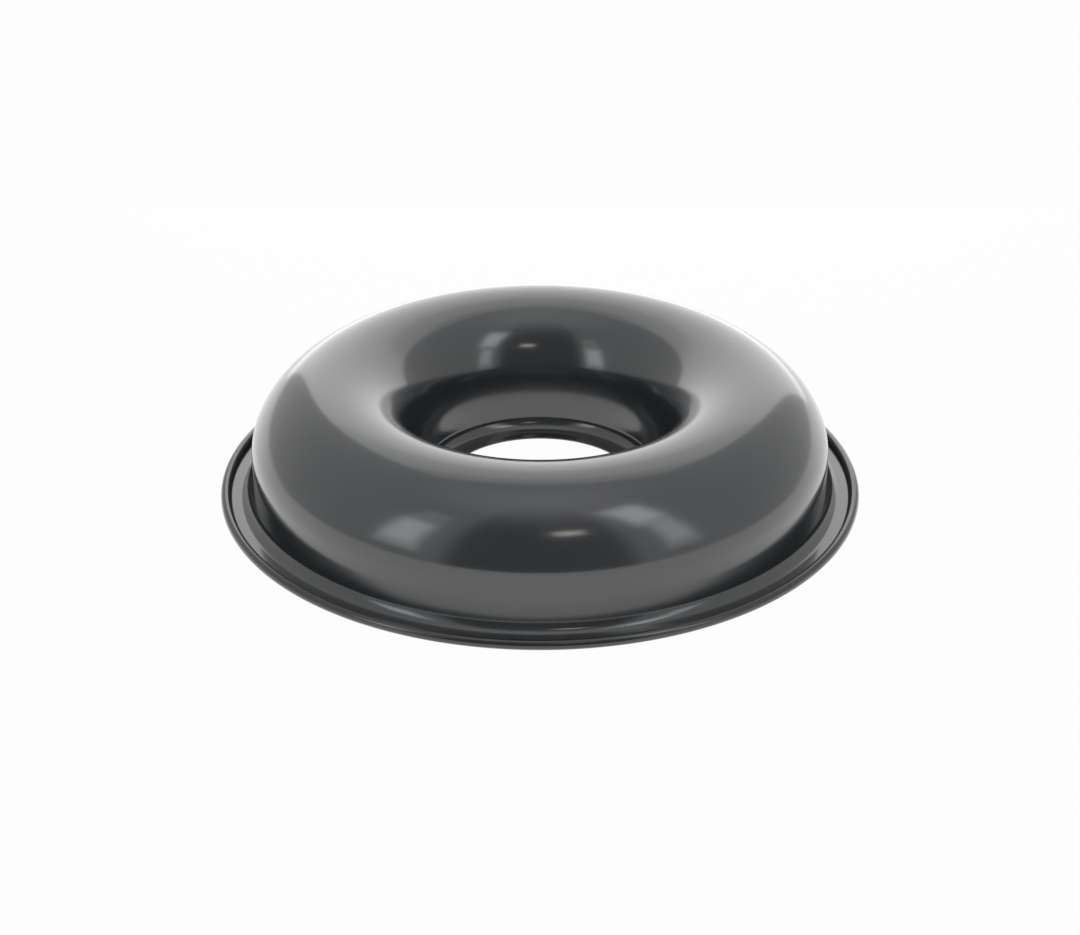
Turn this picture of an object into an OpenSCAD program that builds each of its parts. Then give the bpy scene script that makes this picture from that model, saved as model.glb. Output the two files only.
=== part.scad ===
// Ring cake mould, lying on its rolled rim: one round pressed steel shell whose
// outer edge is curled over a stiffening wire. Millimetres, +Z up, with the
// origin on the ring's axis in the plane that the rim rests on.

/* [Sheet] */
// Thickness of the coated steel sheet
sheet_t = 0.6; // [0.4:0.05:0.8]

/* [Rolled rim] */
// Outer diameter over the rolled rim
rim_d = 260; // [230:1:300]
// Diameter of the stiffening wire
wire_d = 2.6; // [2.4:0.1:3.2]
// Radial clearance between the wire and the curl round it
wire_clearance = 0.07; // [0.04:0.01:0.15]
// Gap between the two butted ends of the wire
wire_gap = 0.8; // [0.4:0.1:3]
// Height of the curl's free edge above the flange
free_edge_gap = 0.9; // [0.6:0.05:1.2]
// Inside radius of the small bend where the flange dips under the wire
dip_bend_r = 0.3; // [0.2:0.05:0.5]

/* [Flange] */
// Width from the rolled rim's outer edge to the inner end of the flat flange
flange_w = 7.7; // [7:0.1:9]
// Height of the flange's upper face above the lowest point of the rim
flange_h = 1.2; // [1.1:0.05:1.6]
// Radius of the cove between the flange and the flare above it
flange_cove_r = 5; // [4:0.1:6]
// Radius of the flare that eases the outer wall into the flange cove
flare_r = 40; // [34:1:46]
// Slope that the flare has reached where the flange cove begins, in degrees from the wall
flare_angle = 11; // [9:0.5:13]

/* [Ring section] */
// Height of the ring's crest above the lowest point of the rim
ring_h = 50; // [47:0.5:56]
// Radius of the flank, which rises from the upright outer wall
flank_r = 22; // [18:1:26]
// Slope at which the flank meets the shoulder, in degrees from the wall
flank_top_angle = 25; // [20:1:30]
// Radius of the shoulder
shoulder_r = 38; // [32:1:42]
// Slope at which the shoulder meets the outer crown, in degrees from the wall
shoulder_top_angle = 60; // [55:1:65]
// Radius of the crown outside the crest
crown_outer_r = 34; // [30:1:38]
// Radius of the crown inside the crest
crown_inner_r = 31; // [27:0.5:35]
// Slope at which the inner crown meets the inner wall, in degrees from the wall
inner_wall_angle = 10; // [7:0.5:13]
// Radius of the slightly bowed inner wall
inner_wall_r = 190; // [160:5:260]

/* [Centre hole] */
// Width of the flat hole flange, from the hole's edge to the cove under the inner wall
hole_flange_w = 5.25; // [4:0.05:7]
// Height of the hole flange's upper face above the lowest point of the rim
hole_flange_h = 1.2; // [1:0.05:2]
// Radius of the cove between the inner wall and the hole flange
hole_cove_r = 5.5; // [4:0.1:7]

/* [Hidden] */
$fn = 180;

// Neighbouring stretches of sheet run this far into each other, so that they join.
lap = 0.05;

// Curl and wire: one circle centre, with the curl's inner and outer radii.
curl_in_r = wire_d / 2 + wire_clearance;
curl_out_r = curl_in_r + sheet_t;
curl_c = [rim_d / 2 - curl_out_r, curl_out_r];

// Everything inside the rim is placed from it, inwards, so the whole pressing
// follows the rim's size.
function polar(r, a) = [r * cos(a), r * sin(a)];

// Dip bend: touches the flange above it and the curl beside it.
dip_c_z = flange_h - sheet_t - dip_bend_r;
dip_to_curl = curl_in_r + dip_bend_r + sheet_t;
dip_angle = asin((curl_c.y - dip_c_z) / dip_to_curl);
dip_c = curl_c - polar(dip_to_curl, dip_angle);
free_edge_angle = 180 - asin((flange_h + free_edge_gap - curl_c.y) / curl_out_r);

// Outer side, from the flange inwards. Each arc's centre lies on the line through
// its neighbour's centre and the point where the two arcs meet.
flange_cove_c = [rim_d / 2 - flange_w, flange_h + flange_cove_r];
flare_c = flange_cove_c + polar(flare_r - flange_cove_r, flare_angle);
outer_wall_r = flare_c.x - flare_r;
crest_r = outer_wall_r - flank_r
    - (shoulder_r - flank_r) * cos(flank_top_angle)
    - (crown_outer_r - shoulder_r) * cos(shoulder_top_angle);
crest = [crest_r, ring_h];
crown_outer_c = crest - [0, crown_outer_r];
shoulder_c = crown_outer_c + polar(crown_outer_r - shoulder_r, shoulder_top_angle);
flank_c = shoulder_c + polar(shoulder_r - flank_r, flank_top_angle);

// Inner side, from the crest down to the edge of the centre hole.
inner_turn = 180 - inner_wall_angle;
crown_inner_c = crest - [0, crown_inner_r];
inner_wall_c = crown_inner_c + polar(crown_inner_r - inner_wall_r, inner_turn);
hole_cove_z = hole_flange_h + hole_cove_r;
wall_to_cove = inner_wall_r + hole_cove_r;
wall_foot_angle = 180 - asin((hole_cove_z - inner_wall_c.y) / wall_to_cove);
hole_cove_c = inner_wall_c + polar(wall_to_cove, wall_foot_angle);
hole_r = hole_cove_c.x - hole_flange_w;

// Sector of the plane between two angles, out to the given reach.
module sector(from, to, reach) {
    steps = ceil((to - from) / 30);
    polygon(concat([[0, 0]], [for (i = [0 : steps]) polar(reach, from + (to - from) * i / steps)]));
}

// Sheet bent round a centre: the band between two radii and two angles.
module bend(centre, inside_r, from, to) {
    outside_r = inside_r + sheet_t;
    lap_angle = 180 * lap / (PI * outside_r);
    translate(centre) intersection() {
        difference() {
            circle(r = outside_r);
            circle(r = inside_r);
        }
        sector(from - lap_angle, to + lap_angle, 1.5 * outside_r);
    }
}

// Flat sheet between two radii, with its upper face at the given height.
module flat_sheet(from_r, to_r, top_z) {
    translate([from_r, top_z - sheet_t]) square([to_r - from_r, sheet_t]);
}

// Curl round the wire, open where its free edge stops short of the flange.
module curl() {
    translate(curl_c) difference() {
        circle(r = curl_out_r);
        circle(r = curl_in_r);
        sector(free_edge_angle, 180 + dip_angle, 1.5 * curl_out_r);
    }
}

module shell_section() {
    curl();
    bend(dip_c, dip_bend_r, dip_angle, 90);
    flat_sheet(flange_cove_c.x, dip_c.x, flange_h);
    bend(flange_cove_c, flange_cove_r, 180 + flare_angle, 270);
    bend(flare_c, flare_r, 180, 180 + flare_angle);
    translate([outer_wall_r - sheet_t, flare_c.y]) square([sheet_t, flank_c.y - flare_c.y]);
    bend(flank_c, flank_r - sheet_t, 0, flank_top_angle);
    bend(shoulder_c, shoulder_r - sheet_t, flank_top_angle, shoulder_top_angle);
    bend(crown_outer_c, crown_outer_r - sheet_t, shoulder_top_angle, 90);
    bend(crown_inner_c, crown_inner_r - sheet_t, 90, inner_turn);
    bend(inner_wall_c, inner_wall_r - sheet_t, inner_turn, wall_foot_angle);
    bend(hole_cove_c, hole_cove_r, 270, 180 + wall_foot_angle);
    flat_sheet(hole_r, hole_cove_c.x, hole_flange_h);
}

// The whole pressing: hole flange, inner wall, arch, flange and rolled rim in one sheet.
module pan_shell() {
    color("#313132") rotate_extrude() shell_section();
}

// Round wire bent to a ring inside the curl, its ends butted at the back.
module rim_wire() {
    gap_angle = 360 * wire_gap / (2 * PI * curl_c.x);
    color("gray")
        rotate([0, 0, 90 + gap_angle / 2])
            rotate_extrude(angle = 360 - gap_angle)
                translate(curl_c) circle(d = wire_d);
}

pan_shell();
rim_wire();
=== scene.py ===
import math

import bpy
import numpy as np
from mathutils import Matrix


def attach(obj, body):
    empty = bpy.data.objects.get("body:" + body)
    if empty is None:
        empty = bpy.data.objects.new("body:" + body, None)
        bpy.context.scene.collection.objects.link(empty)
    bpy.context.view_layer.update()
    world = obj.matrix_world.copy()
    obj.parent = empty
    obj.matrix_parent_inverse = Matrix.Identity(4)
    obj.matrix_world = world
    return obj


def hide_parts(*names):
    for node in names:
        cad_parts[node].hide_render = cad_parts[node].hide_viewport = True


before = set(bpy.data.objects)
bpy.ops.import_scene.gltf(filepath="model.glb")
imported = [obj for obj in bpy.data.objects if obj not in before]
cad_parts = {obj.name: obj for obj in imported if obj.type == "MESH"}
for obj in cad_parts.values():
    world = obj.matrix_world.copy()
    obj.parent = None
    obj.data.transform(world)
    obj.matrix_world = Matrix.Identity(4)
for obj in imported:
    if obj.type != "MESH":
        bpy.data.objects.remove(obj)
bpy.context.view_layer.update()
print("frame loaded")

millimetre = 0.001
roundTurn = 2 * math.pi
inDegrees = 360 / roundTurn


class Sock:
    # One socket of a node tree. + - * on it add Math nodes, and node() adds any other node.
    def __init__(self, tree, socket=None):
        self.tree = tree
        self.socket = socket

    def node(self, kind, settings, inputs, output=0):
        made = self.tree.nodes.new("ShaderNode" + kind)
        for name, value in settings.items():
            setattr(made, name, value)
        for name, value in inputs.items():
            if isinstance(value, Sock):
                self.tree.links.new(value.socket, made.inputs[name])
            else:
                made.inputs[name].default_value = value
        return Sock(self.tree, None if output is None else made.outputs[output])

    def __add__(self, other):
        return self.node("Math", {"operation": "ADD"}, {0: self, 1: other})

    def __sub__(self, other):
        return self.node("Math", {"operation": "SUBTRACT"}, {0: self, 1: other})

    def __mul__(self, other):
        return self.node("Math", {"operation": "MULTIPLY"}, {0: self, 1: other})

    def __radd__(self, other):
        return self.node("Math", {"operation": "ADD"}, {0: other, 1: self})

    def __rsub__(self, other):
        return self.node("Math", {"operation": "SUBTRACT"}, {0: other, 1: self})

    def __rmul__(self, other):
        return self.node("Math", {"operation": "MULTIPLY"}, {0: other, 1: self})


def allOutputs(sock):  # every output of the node behind a socket, by name
    return {socket.name: Sock(sock.tree, socket) for socket in sock.socket.node.outputs}


def smoothStep(value, low, high):  # 0 below low, 1 above high, smooth between
    return value.node("MapRange", {"interpolation_type": "SMOOTHSTEP"},
                      {"Value": value, "From Min": low, "From Max": high})


def blendColours(share, first, second):
    return share.node("Mix", {"data_type": "RGBA"}, {0: share, 6: first, 7: second}, 2)


def noise(place, scale, detail, distortion=0):
    return place.node("TexNoise", {}, {"Vector": place, "Scale": scale, "Detail": detail,
                                       "Distortion": distortion}, "Fac")


def newMaterial(name):
    material = bpy.data.materials.new(name)
    material.use_nodes = True
    material.node_tree.nodes.clear()
    return material, Sock(material.node_tree)


def closeMaterial(tree, shader):
    tree.node("OutputMaterial", {}, {"Surface": shader}, None)


def giveMaterial(piece, material):
    piece.data.materials.clear()
    piece.data.materials.append(material)


def addObject(name, data):
    made = bpy.data.objects.new(name, data)
    bpy.context.scene.collection.objects.link(made)
    return made


# A grid of points, rows by columns by 3, made a closed tube of quads: rows wrap and columns wrap.
def ringMesh(name, points):
    rows, columns = points.shape[:2]
    row, column = np.meshgrid(np.arange(rows), np.arange(columns), indexing="ij")
    nextRow, nextColumn = (row + 1) % rows, (column + 1) % columns
    corners = [row * columns + column, row * columns + nextColumn,
               nextRow * columns + nextColumn, nextRow * columns + column]
    mesh = bpy.data.meshes.new(name)
    mesh.from_pydata(points.reshape(-1, 3), [], np.stack(corners, -1).reshape(-1, 4))
    mesh.shade_smooth()
    return addObject(name, mesh)


cameraPlace = {
    "across": 0.0, "back": -0.89085, "up": 0.4793,  # metres
    "tiltDown": 27.92,                              # degrees below level
    "lens": 82.13, "sensor": 36,                    # millimetres
    "near": 0.01, "far": 50,                        # metres
}
cameraData = bpy.data.cameras.new("camera")
cameraData.lens = cameraPlace["lens"]
cameraData.sensor_width = cameraPlace["sensor"]
cameraData.clip_start = cameraPlace["near"]
cameraData.clip_end = cameraPlace["far"]
camera = addObject("camera", cameraData)
camera.location = (cameraPlace["across"], cameraPlace["back"], cameraPlace["up"])
camera.rotation_euler = (math.radians(90 - cameraPlace["tiltDown"]), 0, 0)
bpy.context.scene.camera = camera
bpy.context.scene.view_settings.view_transform = "Standard"
print("camera placed")

shell = {  # millimetres and degrees
    "sheet": 0.6,
    "rimAcross": 260, "wireAcross": 2.6, "wireClearance": 0.07, "freeEdgeGap": 0.9, "dipBend": 0.3,
    "flangeWidth": 7.7, "flangeHeight": 1.2, "flangeCove": 5, "flare": 40, "flareLean": 11,
    "height": 50, "flank": 22, "flankTop": 25, "shoulder": 38, "shoulderTop": 60,
    "crownOuter": 34, "crownInner": 31, "wallLean": 10, "wall": 190,
    "holeFlangeWidth": 5.25, "holeFlangeHeight": 1.2, "holeCove": 5.5,
    "edgeRound": 0.1,    # how far the cut edges are eased
    "edgePower": 0.4,    # 1 would be a full round, less is squarer
    "edgePoints": 9,
    "stepsRound": 256,
}


def onCircle(radius, degrees):
    angle = np.radians(degrees)
    return np.array([radius * np.cos(angle), radius * np.sin(angle)])


# The sheet's bends in order, from the hole to the free edge of the curl. Each is centre, radius at
# mid-sheet, start and end angle, which side of the bend the upper face is on, and steps. Centres follow
# from tangency: two tangent arcs have their centres apart by the difference, or for opposite bends the
# sum, of their radii.
def sheetBends(s):
    half = s["sheet"] / 2
    curlIn = s["wireAcross"] / 2 + s["wireClearance"]
    curlOut = curlIn + s["sheet"]
    curlCentre = np.array([s["rimAcross"] / 2 - curlOut, curlOut])
    freeEdgeHeight = s["flangeHeight"] + s["freeEdgeGap"]
    freeEdge = 540 - math.degrees(math.asin((freeEdgeHeight - curlOut) / curlOut))  # past a full turn

    dipHeight = s["flangeHeight"] - s["sheet"] - s["dipBend"]
    dipToCurl = curlIn + s["dipBend"] + s["sheet"]
    dipAngle = math.degrees(math.asin((curlOut - dipHeight) / dipToCurl))
    dipCentre = curlCentre - onCircle(dipToCurl, dipAngle)

    flangeInner = s["rimAcross"] / 2 - s["flangeWidth"]
    flangeCoveCentre = np.array([flangeInner, s["flangeHeight"] + s["flangeCove"]])
    flareCentre = flangeCoveCentre + onCircle(s["flare"] - s["flangeCove"], s["flareLean"])
    outerWall = flareCentre[0] - s["flare"]

    flankToShoulder = onCircle(s["shoulder"] - s["flank"], s["flankTop"])
    shoulderToCrown = onCircle(s["crownOuter"] - s["shoulder"], s["shoulderTop"])
    crest = np.array([outerWall - s["flank"] - flankToShoulder[0] - shoulderToCrown[0], s["height"]])
    crownOuterCentre = crest - [0, s["crownOuter"]]
    shoulderCentre = crownOuterCentre + shoulderToCrown
    flankCentre = shoulderCentre + flankToShoulder

    innerTurn = 180 - s["wallLean"]
    crownInnerCentre = crest - [0, s["crownInner"]]
    wallCentre = crownInnerCentre + onCircle(s["crownInner"] - s["wall"], innerTurn)
    coveHeight = s["holeFlangeHeight"] + s["holeCove"]
    wallToCove = s["wall"] + s["holeCove"]
    wallFoot = 180 - math.degrees(math.asin((coveHeight - wallCentre[1]) / wallToCove))
    holeCoveCentre = wallCentre + onCircle(wallToCove, wallFoot)

    return [
        (holeCoveCentre, s["holeCove"] + half, 270, 180 + wallFoot, -1, 16),
        (wallCentre, s["wall"] - half, wallFoot, innerTurn, 1, 16),
        (crownInnerCentre, s["crownInner"] - half, innerTurn, 90, 1, 34),
        (crownOuterCentre, s["crownOuter"] - half, 90, s["shoulderTop"], 1, 16),
        (shoulderCentre, s["shoulder"] - half, s["shoulderTop"], s["flankTop"], 1, 16),
        (flankCentre, s["flank"] - half, s["flankTop"], 0, 1, 12),
        (flareCentre, s["flare"] + half, 180, 180 + s["flareLean"], -1, 8),
        (flangeCoveCentre, s["flangeCove"] + half, 180 + s["flareLean"], 270, -1, 16),
        (dipCentre, s["dipBend"] + half, 90, dipAngle, 1, 5),
        (curlCentre, curlIn + half, 180 + dipAngle, freeEdge, -1, 42),
    ]


# One face of the sheet: each bend's centre plus (mid radius plus or minus half the sheet) times the
# direction of each angle in turn. lift is +half for the upper face and -half for the lower.
def sheetFace(bends, lift):
    parts = []
    for centre, radius, start, end, side, steps in bends:
        angles = np.linspace(start, end, steps + 1)
        parts.append(centre[:, None] + onCircle(radius + side * lift, angles))
    points = np.concatenate(parts, 1).T
    apart = np.linalg.norm(np.diff(points, axis=0), axis=1) > 1e-6  # bends share their end points
    return points[np.append(True, apart)]


# Cut edge of the sheet: half a superellipse across the thickness, tip plus out times the easing times
# (|cos u|^power - 1) plus across times half the sheet times sin u, kept to the same power.
def cutEdge(tip, out, across, s):
    u = np.radians(np.linspace(90, -90, s["edgePoints"]))
    sideways = np.sign(np.sin(u)) * np.abs(np.sin(u)) ** s["edgePower"] * s["sheet"] / 2
    outwards = (np.abs(np.cos(u)) ** s["edgePower"] - 1) * s["edgeRound"]
    return tip + np.outer(sideways, across) + np.outer(outwards, out)


# Closed outline of the bent sheet in (radius, height), millimetres: upper face outwards, the curl's cut
# edge, lower face back, the hole's cut edge.
def sheetOutline(s):
    bends = sheetBends(s)
    half = s["sheet"] / 2
    upper, lower = sheetFace(bends, half), sheetFace(bends, -half)

    curlCentre, curlRadius, _, curlEnd, _, _ = bends[-1]
    curlTip = curlCentre + onCircle(curlRadius, curlEnd)
    curlEdge = cutEdge(curlTip, onCircle(1, curlEnd + 90), -onCircle(1, curlEnd), s)

    coveCentre = bends[0][0]
    holeTip = np.array([coveCentre[0] - s["holeFlangeWidth"], s["holeFlangeHeight"] - half])
    holeEdge = cutEdge(holeTip, np.array([-1, 0]), np.array([0, -1]), s)
    return np.concatenate([upper, curlEdge, lower[::-1], holeEdge])


# The outline carried round the axis: (radius cos a, radius sin a, height) for each point and angle a.
def turnOutline(outline, steps):
    angle = np.linspace(0, roundTurn, steps, endpoint=False)
    radius, height = outline[:, :1] * millimetre, outline[:, 1:] * millimetre
    return np.stack([radius * np.cos(angle), radius * np.sin(angle), height + 0 * angle], -1)


panShell = ringMesh("coated_shell", turnOutline(sheetOutline(shell), shell["stepsRound"]))
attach(panShell, "root")
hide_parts("pan_shell")
print("shell made", len(panShell.data.polygons), "faces")

coat = {  # metres; scales are waves or cells a metre
    "colour": (0.03, 0.0333, 0.0375, 1),
    "patchColour": (0.0345, 0.038, 0.0425, 1),
    "patchScale": 28, "patchRange": (0.3, 0.7),
    "roughness": 0.2, "roughnessSpread": 0.06, "fineScale": 1500,
    "ior": 1.5,
    "gloss": 1.0,                 # weight of the clear top layer
    "glossRoughness": 0.12, "glossIor": 1.68,
    "peelScale": 520, "peelDepth": 0.000004,      # orange peel
    "smudgeScale": 11, "smudgeRange": (0.5, 0.7), "smudgeRough": 0.05,
    "gritScale": 55, "gritDepth": 0.00003,        # grains caught in the coat
    "gritSize": 0.022,            # share of a cell
    "gritPick": (0.34, 0.35),     # below this lot a cell holds a grain
    "grooveShadeColour": (0.006, 0.006, 0.0065, 1),    # painted shade: the fold inside the bead, darkened, roughened and left without the clear coat so it reads as shade
    "grooveShadeRough": 0.45,
    "grooveShadeInner": (0.1254, 0.1258), "grooveShadeOuter": (0.1269, 0.1275),
    "beadColour": (0.021, 0.0205, 0.0195, 1),     # the bead, handled and rubbed
    "beadFrom": (0.1271, 0.1283), "beadWear": 0.4,
    "beadPatchRange": (0.35, 0.65), "beadPatchShare": 0.4,
}


def coatMaterial(c):
    material, tree = newMaterial("nonstick coat")
    place = tree.node("TexCoord", {}, {}, "Object")
    axes = allOutputs(place.node("SeparateXYZ", {}, {0: place}))
    radius = place.node("Math", {"operation": "SQRT"}, {0: axes["X"] * axes["X"] + axes["Y"] * axes["Y"]})
    cloud = noise(place, c["patchScale"], detail=3)
    fine = noise(place, c["fineScale"], detail=2)
    peel = noise(place, c["peelScale"], detail=1)
    smudge = smoothStep(noise(place, c["smudgeScale"], detail=5, distortion=1.5), *c["smudgeRange"])

    # painted shade: a ring at the fold inside the bead where the colour goes near black, the roughness
    # rises and the clear coat is taken off
    grooveShade = smoothStep(radius, *c["grooveShadeInner"]) * (1 - smoothStep(radius, *c["grooveShadeOuter"]))
    patches = smoothStep(cloud, *c["beadPatchRange"]) * c["beadPatchShare"] + (1 - c["beadPatchShare"])
    bead = smoothStep(radius, *c["beadFrom"]) * patches

    cell = allOutputs(place.node("TexVoronoi", {}, {"Vector": place, "Scale": c["gritScale"]}))
    lot = place.node("SeparateColor", {}, {0: cell["Color"]}, "Red")
    grain = (1 - smoothStep(cell["Distance"], 0, c["gritSize"])) * (1 - smoothStep(lot, *c["gritPick"]))

    colour = blendColours(smoothStep(cloud, *c["patchRange"]), c["colour"], c["patchColour"])
    colour = blendColours(bead, colour, c["beadColour"])
    # the painted shade in the fold inside the bead laid over the coat colour
    colour = blendColours(grooveShade, colour, c["grooveShadeColour"])
    roughness = (c["roughness"] + (cloud + fine - 1) * c["roughnessSpread"]
                 + smudge * c["smudgeRough"] + grooveShade * c["grooveShadeRough"])
    height = peel * c["peelDepth"] + grain * c["gritDepth"]
    bump = tree.node("Bump", {}, {"Strength": 1, "Distance": 1, "Height": height}, "Normal")
    closeMaterial(tree, tree.node("BsdfPrincipled", {}, {
        "Base Color": colour, "Roughness": roughness, "IOR": c["ior"], "Normal": bump,
        "Coat Weight": (1 - grooveShade) * (1 - bead * c["beadWear"]) * c["gloss"],
        "Coat Roughness": c["glossRoughness"], "Coat IOR": c["glossIor"]}))
    return material


steel = {
    "colour": (0.24, 0.235, 0.225, 1),
    "dullColour": (0.12, 0.115, 0.11, 1),
    "stainScale": 60, "stainRange": (0.4, 0.7),   # scales are waves a metre
    "roughness": 0.42, "roughnessSpread": 0.2, "grainScale": 900,
}


def steelMaterial(c):
    material, tree = newMaterial("annealed steel wire")
    place = tree.node("TexCoord", {}, {}, "Object")
    stain = smoothStep(noise(place, c["stainScale"], detail=4), *c["stainRange"])
    grain = noise(place, c["grainScale"], detail=3)
    closeMaterial(tree, tree.node("BsdfPrincipled", {}, {
        "Base Color": blendColours(stain, c["colour"], c["dullColour"]), "Metallic": 1,
        "Roughness": c["roughness"] + (grain - 0.5) * c["roughnessSpread"]}))
    return material


giveMaterial(panShell, coatMaterial(coat))
giveMaterial(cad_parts["rim_wire"], steelMaterial(steel))
print("finishes made")

studio = {  # metres, degrees; brightness 1 is white
    "floorSize": 12,
    "floorColour": (0.82, 0.82, 0.82, 1),
    "whiteShare": 0.97,           # how much of the floor's look is its own white
    "around": 0.58,               # brightness of the tent's sides
    "above": 0.8,                 # and of its top
    "aboveFrom": (60, 85),        # degrees up
    "opening": 0.14,              # and of its open side, towards the camera
    "openingHalfWidth": 36, "openingSoft": 5,
    "openingTop": (50, 88),       # degrees up, where the opening fades out
}

# Each panel: centre and size in metres, the point it faces, the brightness it adds to the tent's, and
# for some how many layers make its soft edge, and its colour.
coolWhite, warmWhite = (0.95, 1, 1.04), (1, 0.93, 0.82)
panels = {
    "back panel low": {"at": (0.028, 0.31, 0.155), "size": (0.5, 0.3),
                       "faces": (0.028, 0, 0.155), "level": 0.78},
    "back panel middle": {"at": (0.028, 0.31, 0.43), "size": (0.5, 0.25),
                          "faces": (0.028, 0, 0.43), "level": 0.56},
    "back panel high": {"at": (0.028, 0.31, 0.655), "size": (0.5, 0.2),
                        "faces": (0.028, 0, 0.655), "level": 0.33},
    "left strip": {"at": (-0.405, -0.33, 0.315), "size": (0.165, 0.4), "faces": (0, 0, 0.315),
                   "level": 1.55, "layers": 4, "colour": coolWhite},
    "left strip top": {"at": (-0.405, -0.33, 0.625), "size": (0.135, 0.25),
                       "faces": (0, 0, 0.625), "level": 0.35},
    "right strip": {"at": (0.41, -0.335, 0.325), "size": (0.13, 0.4), "faces": (0, 0, 0.325),
                    "level": 1.15, "layers": 4, "colour": coolWhite},
    "right flare": {"at": (0.41, -0.335, 0.765), "size": (0.22, 0.42), "faces": (0, 0, 0.05),
                    "level": 1.8, "layers": 4, "colour": coolWhite},
    "front lamp": {"at": (0.1, -0.46, 0.5), "size": (0.12, 0.06), "faces": (0, 0, 0.05),
                   "level": 3.2, "layers": 2, "colour": warmWhite},
}
layering = {"shrink": 0.6, "gap": 0.004}  # share of size lost towards the last layer, metres apart

reach = studio["floorSize"] / 2
floorMesh = bpy.data.meshes.new("floor")
floorMesh.from_pydata([(-reach, -reach, 0), (reach, -reach, 0), (reach, reach, 0), (-reach, reach, 0)],
                      [], [(0, 1, 2, 3)])
floor = addObject("floor", floorMesh)


def floorMaterial(c):
    material, tree = newMaterial("white floor")
    ray = allOutputs(tree.node("LightPath", {}, {}))
    seen = ray["Is Camera Ray"] + ray["Is Glossy Ray"] + ray["Is Transmission Ray"]
    matt = tree.node("BsdfDiffuse", {}, {"Color": c["floorColour"]})
    white = tree.node("Emission", {}, {"Color": (1, 1, 1, 1), "Strength": 1})
    closeMaterial(tree, tree.node("MixShader", {}, {0: seen * c["whiteShare"], 1: matt, 2: white}))
    return material


giveMaterial(floor, floorMaterial(studio))


# An even panel shows a brightness of power / (pi * area), so power is that turned round. A soft one is
# several, one just in front of another, each smaller than the last and with an equal part of the level.
def hangPanel(name, p):
    layers = p.get("layers", 1)
    facing = np.subtract(p["faces"], p["at"])
    facing = facing / np.linalg.norm(facing)
    sideways = math.hypot(facing[0], facing[1])
    for layer in range(layers):
        share = 1 - layering["shrink"] * layer / layers
        data = bpy.data.lights.new(name, "AREA")
        data.shape = "RECTANGLE"
        data.size, data.size_y = p["size"][0] * share, p["size"][1] * share
        data.energy = math.pi * data.size * data.size_y * p["level"] / layers
        data.color = p.get("colour", (1, 1, 1))
        panel = addObject(name, data)
        panel.location = np.add(p["at"], layering["gap"] * layer * facing)
        panel.rotation_euler = (math.atan2(sideways, -facing[2]), 0, math.atan2(-facing[0], facing[1]))
        panel.visible_camera = False


for panelName, panelValues in panels.items():
    hangPanel(panelName, panelValues)


# The tent round the mould, by direction: even at the sides, paler above, dark at the open side.
def tentWorld(c):
    world = bpy.data.worlds.new("studio")
    world.use_nodes = True
    world.node_tree.nodes.clear()
    tree = Sock(world.node_tree)
    direction = tree.node("TexCoord", {}, {}, "Generated")
    axes = allOutputs(direction.node("SeparateXYZ", {}, {0: direction}))
    up = tree.node("Math", {"operation": "ARCSINE"}, {0: axes["Z"]}) * inDegrees
    aside = tree.node("Math", {"operation": "ARCTAN2"}, {0: axes["X"], 1: -1 * axes["Y"]})
    aside = tree.node("Math", {"operation": "ABSOLUTE"}, {0: aside}) * inDegrees
    tent = c["around"] + smoothStep(up, *c["aboveFrom"]) * (c["above"] - c["around"])
    halfWidth, soft = c["openingHalfWidth"], c["openingSoft"]
    opening = (1 - smoothStep(aside, halfWidth - soft, halfWidth + soft)) * \
        (1 - smoothStep(up, *c["openingTop"]))
    level = tent + opening * (c["opening"] - tent)
    seen = tree.node("LightPath", {}, {}, "Is Camera Ray")
    background = tree.node("Background", {}, {"Color": (1, 1, 1, 1), "Strength": seen + (1 - seen) * level})
    tree.node("OutputWorld", {}, {"Surface": background}, None)
    bpy.context.scene.world = world


tentWorld(studio)
print("studio made")
